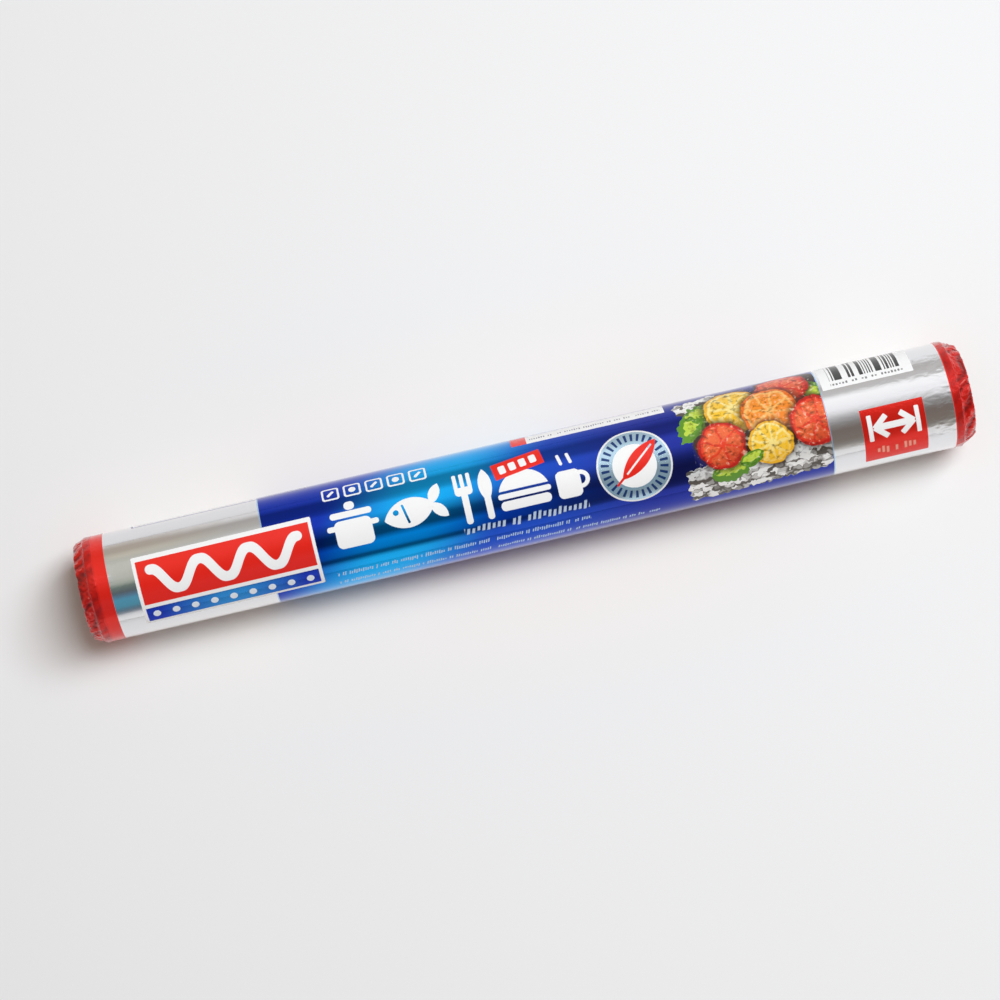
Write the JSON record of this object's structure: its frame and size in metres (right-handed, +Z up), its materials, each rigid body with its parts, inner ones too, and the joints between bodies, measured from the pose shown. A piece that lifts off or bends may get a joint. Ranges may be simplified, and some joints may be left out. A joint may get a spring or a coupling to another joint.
{
  "type": "aluminium foil roll",
  "caption": "Kitchen foil wound on a cardboard core in a printed shrink-film sleeve with gathered ends, lying on its side.",
  "frame": {"origin": "on the surface the roll lies on, under the middle of the roll", "axes": "+X along the roll, from the end with the wide red band to the end with the bar label; +Z up; the viewer stands on the -Y side"},
  "size_m": [0.3, 0.0354, 0.0353],
  "materials": {
    "core_board": "matte",
    "foil": "bright",
    "printed_film": "gloss"
  },
  "bodies": {
    "root": {"core_tube": "core_board", "foil_winding": "foil", "film_sleeve": "printed_film"}
  },
  "joints": []
}
